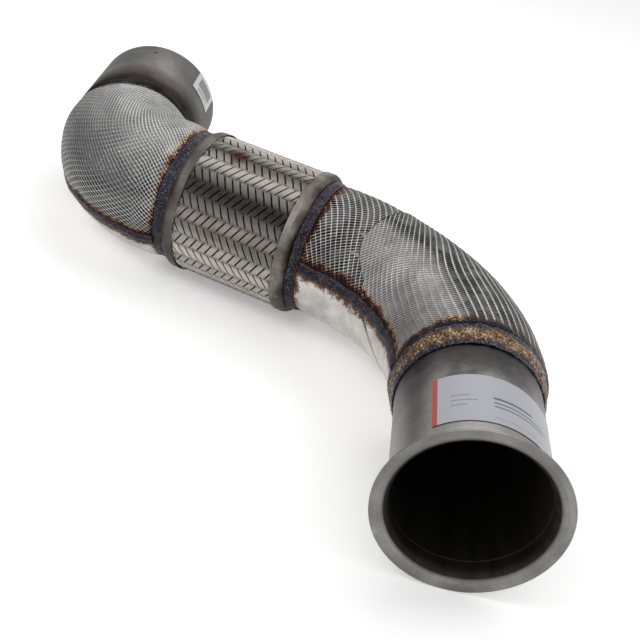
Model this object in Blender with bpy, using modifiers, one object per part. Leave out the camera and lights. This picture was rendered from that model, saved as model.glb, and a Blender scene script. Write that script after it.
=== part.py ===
"""Exhaust front pipe of a truck.

A 5 inch stainless tube with a flared mouth, a braided flex section and a slip collar. Both bends
are lagged with fibre mat under clam-shell jackets of foil. The pipe lies on a flat floor: it rests
on the flared lip and on both flex caps. Units are metres, +Z is up and the mouth faces -Y.
"""

from math import acos, cos, pi, radians, sin

import bmesh
import bpy
from mathutils import Matrix, Vector

# Tube
PIPE_OD = 0.127
PIPE_WALL = 0.0018
FLARE_OD = 0.152
FLARE_FILLET = 0.009

# Centre line, walked from the mouth
STUB_LENGTH = 0.167
FRONT_BEND_RADIUS = 0.217
FRONT_BEND_ANGLE = radians(73)
FRONT_NECK = 0.024
FLEX_LENGTH = 0.115
REAR_NECK = 0.0515
REAR_BEND_RADIUS = 0.095
REAR_BEND_ANGLE = radians(72)
REAR_RISE = radians(5)
OUTLET_NECK = 0.006
COLLAR_LENGTH = 0.113

# Flex section
CAP_OD = 0.1552
CAP_WALL = 0.0011
CAP_LIP = 0.0065
CAP_SHOULDER = 0.0075
CAP_SHOULDER_DROP = 0.006
BRAID_TUCK = 0.005
BRAID_RELIEF = 0.0011
BRAID_WALL = 0.0008
STRANDS_EACH_WAY = 32
CROSSINGS_ALONG = 13
BELLOWS_WALL = 0.0005
BELLOWS_CUFF = 0.014
BELLOWS_PLAY = 0.0008
CONVOLUTIONS = 5
PIPE_END_IN_CUFF = 0.006
LINER_WALL = 0.0015

# Collar
COLLAR_OD = 0.147
COLLAR_WALL = 0.002
COLLAR_SHOULDER = 0.007

# Heat jackets
FOIL = 0.0005
FRONT_JACKET_OD = 0.1406
REAR_JACKET_OD = 0.1508
JACKET_END_DROP = 0.0012
REAR_JACKET_END_DROP = 0.0042
JACKET_EASE = 0.022
JACKET_OVERRUN = 0.026
RING_STUB_WIDTH = 0.0255
RING_STUB_DROP = 0.0042
RING_FLEX_REAR_WIDTH = 0.0125
RING_OUTLET_WIDTH = 0.0045
RING_WALL = 0.0009
RIBS = 2
RIB_HEIGHT = 0.0008
SEAM_WIDTH = radians(9)
SEAM_HEIGHT = 0.0012
FRONT_SEAM_ANGLE = radians(5)
REAR_SEAM_ANGLE = radians(-22)

# Welds and labels
WELD_LEG = 0.0024
LABEL_THICKNESS = 0.0003
LABEL_START = 0.030
LABEL_LENGTH = 0.063
LABEL_FROM = radians(47)
LABEL_SWEEP = radians(101)
TAG_END_MARGIN = 0.002
TAG_LENGTH = 0.044
TAG_FROM = radians(134)
TAG_SWEEP = radians(29)

# Fineness
SIDES = 32
INNER_SIDES = 20
BELLOWS_SIDES = 12
FACET_SAG = 0.0014
SEAT = 0.0003

STAINLESS = (0.33, 0.31, 0.29, 1)
FOIL_SILVER = (0.62, 0.62, 0.61, 1)
TINTED_BLUE = (0.07, 0.08, 0.14, 1)
TINTED_GOLD = (0.36, 0.25, 0.13, 1)
MAT_BEIGE = (0.55, 0.48, 0.36, 1)
PAPER_WHITE = (0.82, 0.83, 0.85, 1)


class Spine:
    """Centre line as straight runs and arcs. Each frame has X to the left, Y up and Z forward."""

    def __init__(self):
        self.runs = []
        self.length = 0.0
        self.end = Matrix(((-1, 0, 0, 0), (0, 0, 1, 0), (0, 1, 0, 0), (0, 0, 0, 1)))

    def add(self, length, radius):
        self.runs.append((self.length, length, radius, self.end.copy()))
        self.length += length
        self.end = self.frame(self.length)

    def straight(self, length):
        self.add(length, None)

    def bend(self, radius, angle):
        """A positive radius turns left, a negative one right."""
        self.add(abs(radius) * angle, radius)

    def roll(self, angle):
        self.end = self.end @ Matrix.Rotation(angle, 4, "Z")

    def frame(self, s):
        passed = [run for run in self.runs if s >= run[0]]
        start, _, radius, pose = passed[-1] if passed else self.runs[0]
        if radius is None:
            return pose @ Matrix.Translation((0, 0, s - start))
        turn = Matrix.Rotation((s - start) / radius, 4, "Y")
        return pose @ Matrix.Translation((radius, 0, 0)) @ turn @ Matrix.Translation((-radius, 0, 0))

    def point(self, s, angle, radius):
        return self.frame(s) @ Vector((radius * cos(angle), radius * sin(angle), 0))

    def stations(self, first, last):
        """Places along a stretch where a sleeve needs a section: its ends and steps along each arc."""
        marks = {first, last}
        for start, length, radius, _ in self.runs:
            steps = 1
            if radius is not None:
                turn = 2 * acos(1 - FACET_SAG / (abs(radius) + PIPE_OD / 2))
                steps = max(1, round(length / abs(radius) / turn))
            marks.update(start + length * i / steps for i in range(steps + 1))
        return sorted(s for s in marks if first <= s <= last)


def laid_out_spine():
    spine = Spine()
    spine.straight(STUB_LENGTH)
    spine.bend(FRONT_BEND_RADIUS, FRONT_BEND_ANGLE)
    spine.straight(FRONT_NECK + FLEX_LENGTH)
    spine.roll(-REAR_RISE)
    spine.straight(REAR_NECK)
    spine.bend(-REAR_BEND_RADIUS, REAR_BEND_ANGLE)
    spine.straight(OUTLET_NECK + COLLAR_LENGTH)
    return spine


SPINE = laid_out_spine()
PIPE_R = PIPE_OD / 2
CAP_R = CAP_OD / 2
FRONT_BODY_R = FRONT_JACKET_OD / 2
REAR_BODY_R = REAR_JACKET_OD / 2
FRONT_END_R = FRONT_BODY_R - JACKET_END_DROP
REAR_END_R = REAR_BODY_R - REAR_JACKET_END_DROP
CAP_END_R = CAP_R - CAP_SHOULDER_DROP
CAP_LENGTH = CAP_LIP + CAP_SHOULDER
STUB_BARE = STUB_LENGTH - JACKET_OVERRUN
FRONT_BEND_END = STUB_LENGTH + FRONT_BEND_RADIUS * FRONT_BEND_ANGLE
FLEX_START = FRONT_BEND_END + FRONT_NECK
FLEX_END = FLEX_START + FLEX_LENGTH
OUTLET_BEND_END = FLEX_END + REAR_NECK + REAR_BEND_RADIUS * REAR_BEND_ANGLE
COLLAR_START = OUTLET_BEND_END + OUTLET_NECK
BELLOWS_CUFF_R = (PIPE_R + SEAT) / cos(pi / BELLOWS_SIDES) + BELLOWS_WALL
BRAID_CREST = (CAP_R - CAP_WALL) * cos(pi / SIDES) - SEAT
BRAID_BORE = BRAID_CREST - BRAID_RELIEF - BRAID_WALL

# End bands of the jackets: start along the line, width, outer radius at the start and at the end
BAND_STUB = (STUB_BARE, RING_STUB_WIDTH, FRONT_END_R - RING_STUB_DROP, FRONT_END_R)
BAND_FLEX_FRONT = (FRONT_BEND_END + SEAT, FRONT_NECK - CAP_LENGTH - 2 * SEAT, FRONT_END_R, CAP_END_R)
BAND_FLEX_REAR = (FLEX_END + CAP_LENGTH + SEAT, RING_FLEX_REAR_WIDTH, CAP_END_R, REAR_END_R)
BAND_OUTLET = (OUTLET_BEND_END, RING_OUTLET_WIDTH, REAR_END_R, REAR_END_R - RING_WALL)

# Stretches of the line that the foil and the mats cover
FRONT_FOIL = (STUB_BARE + RING_STUB_WIDTH + SEAT, FRONT_BEND_END)
REAR_FOIL = (FLEX_END + CAP_LENGTH + RING_FLEX_REAR_WIDTH + 2 * SEAT, OUTLET_BEND_END - SEAT)
FRONT_MAT = (STUB_BARE + RING_STUB_WIDTH / 2, FLEX_START - CAP_LENGTH - WELD_LEG - 2 * SEAT)
REAR_MAT = (FLEX_END + CAP_LENGTH + WELD_LEG + 2 * SEAT, COLLAR_START - WELD_LEG - 2 * SEAT)


def new_collection(name):
    collection = bpy.data.collections.new(name)
    bpy.context.scene.collection.children.link(collection)
    return collection


def material(name, colour, roughness, metallic):
    made = bpy.data.materials.new(name)
    made.use_nodes = True
    shader = made.node_tree.nodes["Principled BSDF"]
    shader.inputs["Base Color"].default_value = colour
    shader.inputs["Roughness"].default_value = roughness
    shader.inputs["Metallic"].default_value = metallic
    made.diffuse_color = colour
    return made


def add_object(name, mesh, finish, matrix=None):
    obj = bpy.data.objects.new(name, mesh)
    COLLECTION.objects.link(obj)
    obj.parent = ROOT
    if matrix is not None:
        obj.matrix_local = matrix
    mesh.materials.append(material(name + "_finish", *finish))
    mesh.shade_smooth()
    mesh.set_sharp_from_angle(angle=radians(35))
    return obj


def offset_path(path, distance):
    """The same open path moved sideways by one distance, to the left of its direction."""
    points = [Vector(p) for p in path]
    moved = []
    for i, point in enumerate(points):
        before = (point - points[i - 1]).normalized() if i else None
        after = (points[i + 1] - point).normalized() if i < len(points) - 1 else None
        before = before or after
        after = after or before
        normals = [Vector((-d.y, d.x)) for d in (before, after)]
        bisector = (normals[0] + normals[1]).normalized()
        moved.append(point + bisector * distance / bisector.dot(normals[0]))
    return moved


def clearing(radius, sides):
    """Corner radius of a faceted ring whose flats stay outside a round of this radius."""
    return radius / cos(pi / sides)


def arc_path(centre, radius, first, last, steps):
    """Points (s, r) on a circle; angles run from +s towards +r."""
    turns = [first + (last - first) * i / steps for i in range(steps + 1)]
    return [(centre[0] + radius * cos(t), centre[1] + radius * sin(t)) for t in turns]


def sheet_section(path, wall):
    """Closed section of bent sheet: the path, and the same path a wall further in, back to front."""
    return [tuple(p) for p in path] + [tuple(p) for p in reversed(offset_path(path, wall))]


def turned(name, section, base, finish, sides=SIDES):
    """A ring turned round the straight centre line at base, from closed (s, r) points."""
    mesh = bpy.data.meshes.new(name)
    points = [(r, 0, s - base) for s, r in section]
    edges = [(i, (i + 1) % len(points)) for i in range(len(points))]
    mesh.from_pydata(points, edges, [])
    obj = add_object(name, mesh, finish, SPINE.frame(base))
    screw = obj.modifiers.new("Turn", "SCREW")
    screw.steps = sides
    screw.render_steps = sides
    screw.merge_threshold = 0.00001
    screw.use_merge_vertices = True
    area = sum(a[0] * b[1] - b[0] * a[1] for a, b in zip(section, section[1:] + section[:1]))
    screw.use_normal_flip = area < 0
    return obj


def swept(name, section, angles, finish, closed=True):
    """A sleeve or half shell: a closed (s, r) section carried round the bent centre line.

    The section is an outer run of points and then the inner run in reverse, so that point i faces
    point -1 - i across the wall. An open sweep gets its two long edges closed between them.
    """
    form = bmesh.new()
    rings = [[form.verts.new(SPINE.point(s, a, r)) for s, r in section] for a in angles]
    count = len(section)
    pairs = list(zip(rings, rings[1:] + rings[:1]))
    for ring, following in pairs if closed else pairs[:-1]:
        for i in range(count):
            j = (i + 1) % count
            form.faces.new((ring[i], ring[j], following[j], following[i]))
    if not closed:
        for ring in (rings[0], rings[-1]):
            for i in range(count // 2 - 1):
                form.faces.new((ring[i], ring[i + 1], ring[-2 - i], ring[-1 - i]))
    bmesh.ops.recalc_face_normals(form, faces=form.faces)
    mesh = bpy.data.meshes.new(name)
    form.to_mesh(mesh)
    form.free()
    return add_object(name, mesh, finish)


def round_angles(sides, first=0.0, sweep=2 * pi, closed=True):
    """Angles of a ring's corners. A half shell keeps the corners of the full ring between its ends."""
    if closed:
        return [2 * pi * i / sides for i in range(sides)]
    step = 2 * pi / sides
    corners = [i * step for i in range(-sides, 2 * sides)]
    inner = [angle for angle in corners if first + step / 4 < angle < first + sweep - step / 4]
    return [first] + inner + [first + sweep]


def sleeve_section(first, last, outer, inner):
    """Section of a sleeve whose outer and inner radii are functions of the place along the line."""
    places = SPINE.stations(first, last)
    return [(s, outer(s)) for s in places] + [(s, inner(s)) for s in reversed(places)]


def eased(first, last, body, end_drop):
    """A radius that swells smoothly from each end of a jacket to its body."""

    def radius(s):
        near = max(0.0, min(1.0, min(s - first, last - s) / JACKET_EASE))
        return body - end_drop * (1 - near) ** 2

    return radius


def offset_radius(radius, distance):
    return lambda s: radius(s) + distance


def front_pipe():
    """Flared mouth, straight stub and bend, all one tube."""
    rim_r = FLARE_OD / 2
    fillet_centre = (PIPE_WALL + FLARE_FILLET, PIPE_R + FLARE_FILLET)
    flare = [(PIPE_WALL, rim_r)] + arc_path(fillet_centre, FLARE_FILLET, pi, 1.5 * pi, 4)
    run = [(s, PIPE_R) for s in SPINE.stations(STUB_LENGTH, FLEX_START - PIPE_END_IN_CUFF)]
    path = flare + run
    return swept("front_pipe", sheet_section(path, -PIPE_WALL), round_angles(SIDES), (STAINLESS, 0.38, 1))


def rear_pipe():
    first = FLEX_END + PIPE_END_IN_CUFF
    last = COLLAR_START + COLLAR_SHOULDER
    path = [(s, PIPE_R) for s in SPINE.stations(first, last)]
    return swept("rear_pipe", sheet_section(path, -PIPE_WALL), round_angles(SIDES), (STAINLESS, 0.4, 1))


def outlet_collar():
    """Slip socket: a necked shoulder that grips the tube and a plain cylinder open to the rear."""
    radius = COLLAR_OD / 2
    bend = COLLAR_SHOULDER - COLLAR_WALL / 2
    centre = (COLLAR_START + bend, radius - bend)
    shoulder = arc_path(centre, bend, pi, pi / 2, 3)
    path = [(COLLAR_START, PIPE_R + SEAT)] + shoulder + [(COLLAR_START + COLLAR_LENGTH, radius)]
    return turned("outlet_collar", sheet_section(path, -COLLAR_WALL), COLLAR_START, (STAINLESS, 0.42, 1))


def flex_cap(name, edge, way):
    """Pressed ring over one end of the braid. The way is the side that it tapers to, +1 or -1."""
    shoulder = [
        (edge + way * (CAP_LIP + CAP_SHOULDER * sin(t)), CAP_R - CAP_SHOULDER_DROP * (1 - cos(t)))
        for t in (radians(45 * i) for i in range(3))
    ]
    path = [(edge, CAP_R)] + shoulder + [(edge + way * CAP_LENGTH, clearing(BELLOWS_CUFF_R + SEAT, SIDES))]
    return turned(name, sheet_section(path, -way * CAP_WALL), edge, (STAINLESS, 0.36, 1))


def flex_bellows():
    """Gas-tight corrugated sheet between the two tube ends, with a plain cuff over each."""
    first = FLEX_START - BELLOWS_CUFF + 0.5 * BELLOWS_CUFF
    last = FLEX_END + 0.5 * BELLOWS_CUFF
    crest = BRAID_BORE - BELLOWS_PLAY
    fold_start = FLEX_START + 0.25 * BELLOWS_CUFF
    pitch = (FLEX_LENGTH - 0.5 * BELLOWS_CUFF) / CONVOLUTIONS
    path = [(first, BELLOWS_CUFF_R)]
    for i in range(CONVOLUTIONS):
        for share, radius in ((0.08, BELLOWS_CUFF_R), (0.34, crest), (0.66, crest), (0.92, BELLOWS_CUFF_R)):
            path.append((fold_start + (i + share) * pitch, radius))
    path.append((last, BELLOWS_CUFF_R))
    section = sheet_section(path, -BELLOWS_WALL)
    return turned("flex_bellows", section, FLEX_START, (STAINLESS, 0.3, 1), sides=BELLOWS_SIDES)


def flex_liner():
    """Smooth inner hose that joins the two bores."""
    first = FLEX_START - PIPE_END_IN_CUFF + SEAT
    last = FLEX_END + PIPE_END_IN_CUFF - SEAT
    section = sheet_section([(first, PIPE_R), (last, PIPE_R)], -LINER_WALL)
    return turned("flex_liner", section, FLEX_START, (STAINLESS, 0.45, 1))


def flex_braid():
    """Tubular braid of flat wire strands, each passing over two and under two.

    Corners of the crossings lie at even steps of a grid and their raised middles at odd steps. Each
    grid square is split along its ridge where both middles belong to one strand, and along the
    valley between strands elsewhere.
    """
    columns = 2 * STRANDS_EACH_WAY
    rows = 2 * CROSSINGS_ALONG
    step = FLEX_LENGTH / rows
    valley = BRAID_CREST - BRAID_RELIEF
    first = FLEX_START - BRAID_TUCK
    last = FLEX_END + BRAID_TUCK
    form = bmesh.new()

    def ring(s, radius_at):
        return [form.verts.new(SPINE.point(s, 2 * pi * k / columns, radius_at(k))) for k in range(columns)]

    def woven(row):
        """Radius of each corner in one row of the weave. The first and last rows lie low."""
        raised = 0 < row < rows
        return lambda k: BRAID_CREST if raised and (row + k) % 2 else valley

    def joined(lower, upper, ridge_at=None):
        for k in range(columns):
            quad = (lower[k], lower[(k + 1) % columns], upper[(k + 1) % columns], upper[k])
            if ridge_at is None:
                form.faces.new(quad)
            elif ridge_at(k):
                form.faces.new((quad[0], quad[1], quad[2]))
                form.faces.new((quad[0], quad[2], quad[3]))
            else:
                form.faces.new((quad[0], quad[1], quad[3]))
                form.faces.new((quad[1], quad[2], quad[3]))

    def over_and_under(row):
        """Whether each square of a row is split from its first lower corner."""

        def diagonal(k):
            if (row + k) % 2:
                return k % 4 == 2
            return k % 4 != 0

        return diagonal

    bore = [ring(s, lambda k: BRAID_BORE) for s in (first, last)]
    shoulders = [ring(s, lambda k: valley) for s in (first, last)]
    weave = [ring(FLEX_START + step * row, woven(row)) for row in range(rows + 1)]
    joined(bore[0], shoulders[0])
    joined(shoulders[0], weave[0])
    for row in range(rows):
        joined(weave[row], weave[row + 1], over_and_under(row))
    joined(weave[-1], shoulders[1])
    joined(shoulders[1], bore[1])
    joined(bore[1], bore[0])
    bmesh.ops.recalc_face_normals(form, faces=form.faces)
    mesh = bpy.data.meshes.new("flex_braid")
    form.to_mesh(mesh)
    form.free()
    return add_object("flex_braid", mesh, (STAINLESS, 0.35, 1))


def under_band(band, s):
    """Radius just inside a band's wall at one place."""
    first, width, start_r, end_r = band
    return start_r + (end_r - start_r) * (s - first) / width - RING_WALL - SEAT


def insulation(end_name, span, foil_span, foil_outer, bands):
    """Fibre mat that fills the room between the tube and the foil and runs on under both end bands."""
    inner_r = clearing(PIPE_R + SEAT, INNER_SIDES)
    outer = [(span[0], under_band(bands[0], span[0]))]
    for s in SPINE.stations(*foil_span):
        radius = foil_outer(s) - FOIL - SEAT
        if s == foil_span[0]:
            radius = min(radius, under_band(bands[0], s))
        if s == foil_span[1]:
            radius = min(radius, under_band(bands[1], s))
        outer.append((s, radius))
    outer.append((span[1], under_band(bands[1], span[1])))
    section = [(s, r * cos(pi / SIDES)) for s, r in outer] + [(s, inner_r) for s, _ in reversed(outer)]
    swept("insulation_" + end_name, section, round_angles(INNER_SIDES), (MAT_BEIGE, 0.95, 0))


def jacket(end_name, span, outer, body_r, seam_angle):
    """Two foil half shells over one bend and the two welded seams that close them."""
    first, last = span
    foil = sleeve_section(first, last, outer, offset_radius(outer, -FOIL))
    gap = SEAT / body_r
    for half, start in (("upper", seam_angle), ("lower", seam_angle + pi)):
        angles = round_angles(SIDES, start + gap, pi - 2 * gap, closed=False)
        swept(f"jacket_{end_name}_{half}", foil, angles, (FOIL_SILVER, 0.3, 1), closed=False)
    bead = sleeve_section(first, last, offset_radius(outer, SEAM_HEIGHT + SEAT), offset_radius(outer, SEAT))
    for side, middle in (("left", seam_angle), ("right", seam_angle + pi)):
        angles = round_angles(SIDES, middle - SEAM_WIDTH / 2, SEAM_WIDTH, closed=False)
        swept(f"jacket_{end_name}_seam_{side}", bead, angles, (TINTED_BLUE, 0.5, 1), closed=False)


def jacket_ring(name, band, finish, ribs=0):
    """End band of a jacket, plain or ribbed, with its inner face on the tube's lagging."""
    first, width, start_r, end_r = band
    outer = [(first, start_r)]
    for i in range(ribs):
        low = start_r + (end_r - start_r) * (i + 1) / (ribs + 1)
        middle = first + width * (i + 0.75) / (ribs + 0.5)
        outer += [(middle, low + RIB_HEIGHT), (middle + width * 0.5 / (ribs + 0.5), low)]
    outer.append((first + width, end_r))
    inner = [(first + width, end_r - RING_WALL), (first, start_r - RING_WALL)]
    turned(name, outer + inner, first, finish)


def weld(name, corner, way):
    """Fillet bead on the tube in the corner that a neighbour's flat end makes."""
    base = clearing(PIPE_R + SEAT, INNER_SIDES)
    foot = corner - way * SEAT
    section = [(foot, base), (foot - way * WELD_LEG, base)]
    section += [(foot - 0.6 * way * WELD_LEG, base + 0.6 * WELD_LEG), (foot, base + WELD_LEG)]
    turned(name, section, corner, (TINTED_GOLD, 0.45, 1), sides=INNER_SIDES)


def label(name, first, length, start, sweep, radius):
    """Thin sticker wrapped round the tube."""
    section = [(first, radius + SEAT + LABEL_THICKNESS), (first + length, radius + SEAT + LABEL_THICKNESS)]
    section += [(first + length, radius + SEAT), (first, radius + SEAT)]
    angles = round_angles(SIDES, start, sweep, closed=False)
    swept(name, section, angles, (PAPER_WHITE, 0.5, 0), closed=False)


def resting_up(rims):
    """The direction that points up when three round rims, each (centre, axis, radius), touch the floor."""
    up = Vector((0, 0, 1))
    for _ in range(8):
        feet = [centre - radius * (up - axis * up.dot(axis)).normalized() for centre, axis, radius in rims]
        up = (feet[1] - feet[0]).cross(feet[2] - feet[0]).normalized()
        if up.z < 0:
            up.negate()
    return up


def lay_down():
    """Turns the whole pipe to its resting pose, with the middle of its footprint over the origin."""
    rims = []
    for s, radius in ((PIPE_WALL, FLARE_OD / 2), (FLEX_START, CAP_R), (FLEX_END, CAP_R)):
        frame = SPINE.frame(s)
        rims.append((frame.translation, frame.to_3x3().col[2], radius))
    ROOT.rotation_mode = "QUATERNION"
    ROOT.rotation_quaternion = resting_up(rims).rotation_difference(Vector((0, 0, 1)))
    bpy.context.view_layer.update()
    graph = bpy.context.evaluated_depsgraph_get()
    corners = []
    for obj in COLLECTION.objects:
        if obj.type == "MESH":
            shape = obj.evaluated_get(graph)
            corners += [obj.matrix_world @ v.co for v in shape.data.vertices]
    low = [min(c[i] for c in corners) for i in range(3)]
    high = [max(c[i] for c in corners) for i in range(3)]
    ROOT.location = (-(low[0] + high[0]) / 2, -(low[1] + high[1]) / 2, -low[2])


for old in list(bpy.data.objects):
    bpy.data.objects.remove(old, do_unlink=True)
COLLECTION = new_collection("exhaust_front_pipe")
ROOT = bpy.data.objects.new("exhaust_front_pipe_root", None)
COLLECTION.objects.link(ROOT)

front_pipe()
rear_pipe()
outlet_collar()
flex_liner()
flex_bellows()
flex_braid()
flex_cap("flex_cap_front", FLEX_START, -1)
flex_cap("flex_cap_rear", FLEX_END, 1)

front_outer = eased(*FRONT_FOIL, FRONT_BODY_R, JACKET_END_DROP)
rear_outer = eased(*REAR_FOIL, REAR_BODY_R, REAR_JACKET_END_DROP)
insulation("front", FRONT_MAT, FRONT_FOIL, front_outer, (BAND_STUB, BAND_FLEX_FRONT))
insulation("rear", REAR_MAT, REAR_FOIL, rear_outer, (BAND_FLEX_REAR, BAND_OUTLET))
jacket("front", FRONT_FOIL, front_outer, FRONT_BODY_R, FRONT_SEAM_ANGLE)
jacket("rear", REAR_FOIL, rear_outer, REAR_BODY_R, REAR_SEAM_ANGLE)
jacket_ring("jacket_ring_stub", BAND_STUB, (TINTED_GOLD, 0.45, 1), RIBS)
jacket_ring("jacket_ring_flex_front", BAND_FLEX_FRONT, (TINTED_BLUE, 0.5, 1))
jacket_ring("jacket_ring_flex_rear", BAND_FLEX_REAR, (TINTED_BLUE, 0.5, 1))
jacket_ring("jacket_ring_outlet", BAND_OUTLET, (TINTED_GOLD, 0.5, 1))
weld("weld_flex_front", FLEX_START - CAP_LENGTH, 1)
weld("weld_flex_rear", FLEX_END + CAP_LENGTH, -1)
weld("weld_outlet", COLLAR_START, 1)
label("label_main", LABEL_START, LABEL_LENGTH, LABEL_FROM, LABEL_SWEEP, PIPE_R)
tag_start = COLLAR_START + COLLAR_LENGTH - TAG_END_MARGIN - TAG_LENGTH
label("label_collar", tag_start, TAG_LENGTH, TAG_FROM, TAG_SWEEP, COLLAR_OD / 2)
lay_down()
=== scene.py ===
"""Looks of the exhaust front pipe: embossed jackets, woven flex, brushed tube and heat tints."""

from math import cos, pi, radians, sin

import bpy
import numpy as np
from mathutils import Matrix, Vector, noise


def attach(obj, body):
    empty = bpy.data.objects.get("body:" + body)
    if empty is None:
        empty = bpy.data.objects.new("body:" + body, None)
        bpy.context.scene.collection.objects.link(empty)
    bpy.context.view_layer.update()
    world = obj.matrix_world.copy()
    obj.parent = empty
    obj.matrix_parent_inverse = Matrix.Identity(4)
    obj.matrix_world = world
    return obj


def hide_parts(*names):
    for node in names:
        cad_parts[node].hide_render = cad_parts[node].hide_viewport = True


# Camera, fitted to the photograph
CAMERA_PLACE = (0.0469, -0.9043, 0.5314)
CAMERA_LOOK = (0.0155, 0.8715, -0.4901)
CAMERA_ROLL = radians(14.81)
CAMERA_LENS = 56.23

# Resting pose and centre line, as the solids have them
REST_PLACE = (0.201352, -0.321937, 0.075999)
REST_UP = (0.001502, 0.004914, 0.999987)
PIPE_R = 0.0635
STUB_LENGTH = 0.167
FRONT_BEND_RADIUS = 0.217
FRONT_BEND_ANGLE = radians(73)
FRONT_NECK = 0.024
FLEX_LENGTH = 0.115
REAR_NECK = 0.0515
REAR_BEND_RADIUS = 0.095
REAR_BEND_ANGLE = radians(72)
REAR_RISE = radians(5)
OUTLET_NECK = 0.006
COLLAR_LENGTH = 0.113

# Walls and end details
PIPE_WALL = 0.0018
FLARE_R = 0.076
FLARE_FILLET = 0.009
CAP_R = 0.0776
CAP_WALL = 0.0011
CAP_LIP = 0.0065
CAP_SHOULDER = 0.0075
CAP_DROP = 0.006
CAP_NECK_R = 0.0661
COLLAR_R = 0.0735
COLLAR_WALL = 0.002
COLLAR_SHOULDER = 0.007
SEAT = 0.0003
TUBE_SIDES = 180

# Jackets
FRONT_JACKET_R = 0.0703
REAR_JACKET_R = 0.0754
FRONT_END_DROP = 0.0012
REAR_END_DROP = 0.0042
JACKET_EASE = 0.022
STUB_BARE = 0.141
RING_STUB_WIDTH = 0.0255
END_WELD = 0.0045
REAR_FLEX_WELD = -0.002
RING_STUB_DROP = 0.0042
RING_FLEX_REAR_WIDTH = 0.0125
RING_OUTLET_WIDTH = 0.0045
FRONT_SEAM_ANGLE = radians(5)
REAR_SEAM_ANGLE = radians(-22)
SHELL_EDGE_ANGLE = 0.004
SHELL_TURN_IN = 0.0012
DENT_SIZE = 0.032
DENT_HEIGHT = 0.0003
END_DENT_HEIGHT = 0.0007
END_DENT_REACH = 0.025
LAP_PLACE = 0.376
LAP_STEP = 0.0013
CREASE_FROM = (0.309, radians(-4))
CREASE_TO = (0.256, radians(-34))
CREASE_DEPTH = 0.0016

# Embossing of the foil: rows of raised lines, and finer cross ridges (dots) between them
EMBOSS_CELL = 0.00088
EMBOSS_HEIGHT = 0.0008
EMBOSS_MIDDLE = 0.45
PLAIN_HEIGHT = 0.4
LINE_SHARPNESS = 2.6
BEAD_DEPTH = 0.34
WANDER = 0.002
FRONT_ROW_PITCH = 0.0076
LAP_ROW_PITCH = 0.0066
FRONT_DOT_PITCH = 0.0033
FRONT_ROW_START = 0.200
FRONT_ROW_SLOPE = -0.08
FRONT_ROW_BOW = 27
FRONT_ROW_CURL = 1.6
FRONT_ROW_WANDER = 0.0016
FRONT_DOT_TURN = radians(42)
FRONT_FAR_SIDE = (radians(60), radians(82))
# Painted contrast levels: how dark the pits are painted as shade, and how bright the crests
FRONT_PAINTED_CONTRAST = 0.56
FRONT_RIDGE = 0.90
FRONT_RIDGE_FALL = 0.42
LAP_RIDGE = 0.68
LAP_ROW_TURN = radians(144)
LAP_DOT_TURN = radians(62)
REAR_ROW_PITCH = 0.0042
REAR_DOT_PITCH = 0.0032
REAR_ROW_TURN = radians(40)
REAR_DOT_TURN = radians(130)
REAR_ROW_WANDER = 0.004
REAR_DOT_WANDER = 0.003
REAR_RIDGE = 0.85
REAR_PAINTED_CONTRAST = 0.62
# Where the rear jacket gets more painted contrast
REAR_CRISP_SIDE = (radians(30), radians(-4))
REAR_CRISP_PLACES = (0.652, 0.622)
REAR_CRISP_ANGLES = (radians(62), radians(34))
# A band of painted shade across the rear crests: strength, middle, width and span along
REAR_PAINTED_SHADE = 0.75
REAR_PAINTED_SHADE_MIDDLE = radians(28)
REAR_PAINTED_SHADE_WIDTH = radians(27)
REAR_PAINTED_SHADE_PLACES = (0.612, 0.645)
PLAIN_PAINTED_CONTRAST = 0.28
PLAIN_RIDGE = 0.6

# The foil is pressed flatter beside its welds
END_HEAT_LEAD = 0.0015
FLAT_LEAD = 0.0025
FLAT_END_LEAD = 0.002
FLAT_REACH = 0.006
FLAT_LEAST = 0.25

# Seams, end bands and beads
SEAM_HALF_WIDTH = 0.005
SEAM_STEP = 0.0016
SEAM_END_GAP = 0.0006
SEAM_EDGE_HEIGHT = 0.0003
SEAM_CROWN = 0.0014
SEAM_WANDER = 0.0016
FINE_LUMP_SIZE = 0.0028
COARSE_LUMP_SIZE = 0.009
LUMP_HEIGHT = 0.0004
BAND_WALL = 0.0012
BAND_STEP = 0.0011
BAND_SIDES = 300
PLEATS = 92
PLEAT_HEIGHT = 0.0004
OUTLET_BAND_DROP = 0.0009
BEAD_LEG = 0.0024
BEAD_SIDES = 240
BEAD_RIPPLES = 220
BEAD_RIPPLE_HEIGHT = 0.0002

# Braid
STRANDS_EACH_WAY = 32
CROSSINGS_ALONG = 26
BRAID_TUCK = 0.005
BRAID_MID_R = 0.0749
BRAID_SWING = 0.0006
STRAND_WIDTH = 0.0064
STRAND_HALF_THICKNESS = 0.00035
WIRES = 9
WIRE_RELIEF = 0.00013
BAND_CENTRE = radians(12.4)
BRAID_END_FADE = 0.004

# Painted light of the braid, with painted dark bands and painted bright gleams: middle and width in degrees,
# and strength
BRAID_TONE = 0.62
BRAID_PAINTED_SHADE_BANDS = (
    (-62, 16, 0.4), (3, 6, 0.6), (36, 14, 0.9), (76, 11, 0.6), (118, 14, 0.6), (165, 12, 0.5), (220, 15, 0.6),
)
BRAID_PAINTED_GLEAMS = ((59, 6, 0.8), (94, 9, 0.5), (-25, 24, 0.95), (140, 8, 0.5), (192, 9, 0.4))

# Painted shade in the mouth, and the faint ring in it
BORE_SHADE_FROM = 0.0017
BORE_SHADE_FADE = 0.0015
COLLAR_BORE_SHADE = 0.6
BORE_RING_PLACE = 0.019
BORE_RING_HALF_WIDTH = 0.0009

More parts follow.
